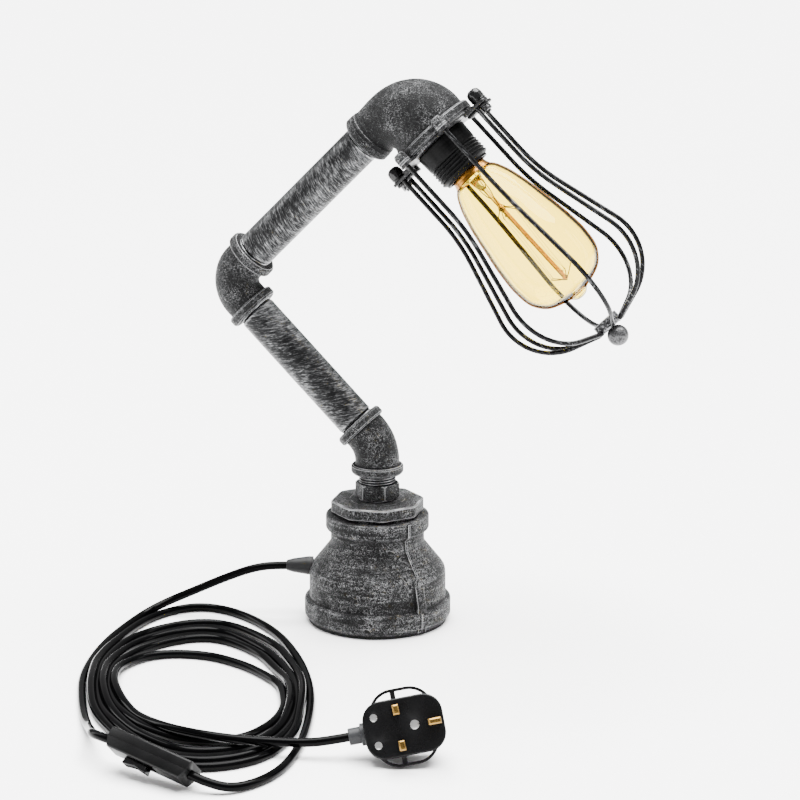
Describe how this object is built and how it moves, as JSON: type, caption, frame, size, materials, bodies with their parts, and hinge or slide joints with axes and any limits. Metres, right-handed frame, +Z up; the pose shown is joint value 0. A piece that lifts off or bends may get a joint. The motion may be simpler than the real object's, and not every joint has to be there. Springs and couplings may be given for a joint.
{
  "type": "table lamp",
  "caption": "table lamp built from threaded pipe and elbows on a bell-shaped cast base, with a teardrop bulb in a wire cage, flex, inline switch and three-pin plug",
  "frame": {"origin": "centre of the flat face of the foot pad, on the surface the lamp stands on", "axes": "+Z is up; both arms and the head lie in the XZ plane at rest, the head reaching towards +X and the cord leaving the base towards -X; -Y is the side the coil, switch and plug lie on"},
  "size_m": [0.3552, 0.4016, 0.3882],
  "materials": {
    "cast_fitting": "dark malleable iron with a rubbed silver highlight, pebbled casting skin",
    "pipe_steel": "dark blackened steel pipe with rubbed streaks along it",
    "foot_pad": "black rubber sheet",
    "black_metal": "satin black wire and sheet with worn edges",
    "grey_metal": "satin grey steel",
    "black_plastic": "satin black moulding",
    "cord_pvc": "smooth glossy black flex",
    "plug_plastic": "glossy black moulding",
    "sleeve_grey": "matt dark grey moulding",
    "brass": "bright brass",
    "steel_small": "bright zinc-plated steel",
    "amber_glass": "clear amber-tinted glass",
    "stem_glass": "amber glass stem",
    "fibre": "pale fibre and fuse body"
  },
  "bodies": {
    "base": {"foot_pad": "foot_pad", "base_reducer": "cast_fitting", "reducing_bushing": "cast_fitting", "hex_nipple": "cast_fitting", "earth_screw": "brass", "strain_relief": "black_plastic", "flex_in_base": "cord_pvc", "cord_tube_lamp": "cord_pvc", "cord_coil": "cord_pvc", "cord_tube_plug": "cord_pvc", "switch_base": "black_plastic", "switch_cover": "black_plastic", "switch_screws": "steel_small", "switch_contacts": "brass", "switch_flex": "cord_pvc", "plug_base": "plug_plastic", "plug_cover": "plug_plastic", "plug_pins": "brass", "plug_pin_sleeves": "black_plastic", "plug_screws": "steel_small", "plug_sleeve": "sleeve_grey", "plug_fuse": "fibre", "plug_cord_grip": "fibre"},
    "rocker": {"switch_rocker": "black_plastic"},
    "lower_arm": {"elbow_45": "cast_fitting", "lower_pipe": "pipe_steel", "flex_in_lower_arm": "cord_pvc"},
    "upper_arm": {"elbow_90": "cast_fitting", "upper_pipe": "pipe_steel", "flex_in_upper_arm": "cord_pvc"},
    "head": {"head_elbow": "cast_fitting", "flex_in_head": "cord_pvc", "holder_disc": "black_metal", "holder_stem": "steel_small", "holder_locknut": "steel_small", "lamp_holder": "black_plastic", "screw_shell": "brass", "centre_contact": "brass", "bulb_cap": "brass", "bulb_tip": "black_plastic", "bulb_glass": "amber_glass", "bulb_stem": "stem_glass", "bulb_wires": "steel_small", "cage_plate_front": "black_metal", "cage_plate_back": "black_metal", "cage_wires_front": "black_metal", "cage_wires_back": "black_metal", "cage_dome_nuts": "grey_metal", "cage_clamp_nuts": "black_metal", "cage_hub": "black_metal", "cage_finial": "grey_metal"},
    "thumb_left": {"thumb_screw_left": "black_metal"},
    "thumb_right": {"thumb_screw_right": "black_metal"}
  },
  "joints": [
    {"name": "base_swivel", "type": "hinge", "parent": "base", "child": "lower_arm", "pos_m": [0, 0, 0.1078], "axis": [0, 0, 1], "range_deg": [-90, 90]},
    {"name": "middle_swivel", "type": "hinge", "parent": "lower_arm", "child": "upper_arm", "pos_m": [-0.11179, 0, 0.24049], "axis": [-0.7071, 0, 0.7071], "range_deg": [-60, 60]},
    {"name": "head_swivel", "type": "hinge", "parent": "upper_arm", "child": "head", "pos_m": [0.01987, 0, 0.37216], "axis": [0.7071, 0, 0.7071], "range_deg": [-90, 90]},
    {"name": "thumb_screw_left_turn", "type": "hinge", "parent": "head", "child": "thumb_left", "pos_m": [0.0186, 0, 0.31714], "axis": [0.7071, 0, -0.7071], "continuous": true},
    {"name": "thumb_screw_right_turn", "type": "hinge", "parent": "head", "child": "thumb_right", "pos_m": [0.07488, 0, 0.37343], "axis": [0.7071, 0, -0.7071], "continuous": true},
    {"name": "switch_rocker_tilt", "type": "hinge", "parent": "base", "child": "rocker", "pos_m": [-0.03777, -0.33314, 0.01286], "axis": [-0.113, -0.7051, 0.7001], "range_deg": [0, 16]}
  ]
}
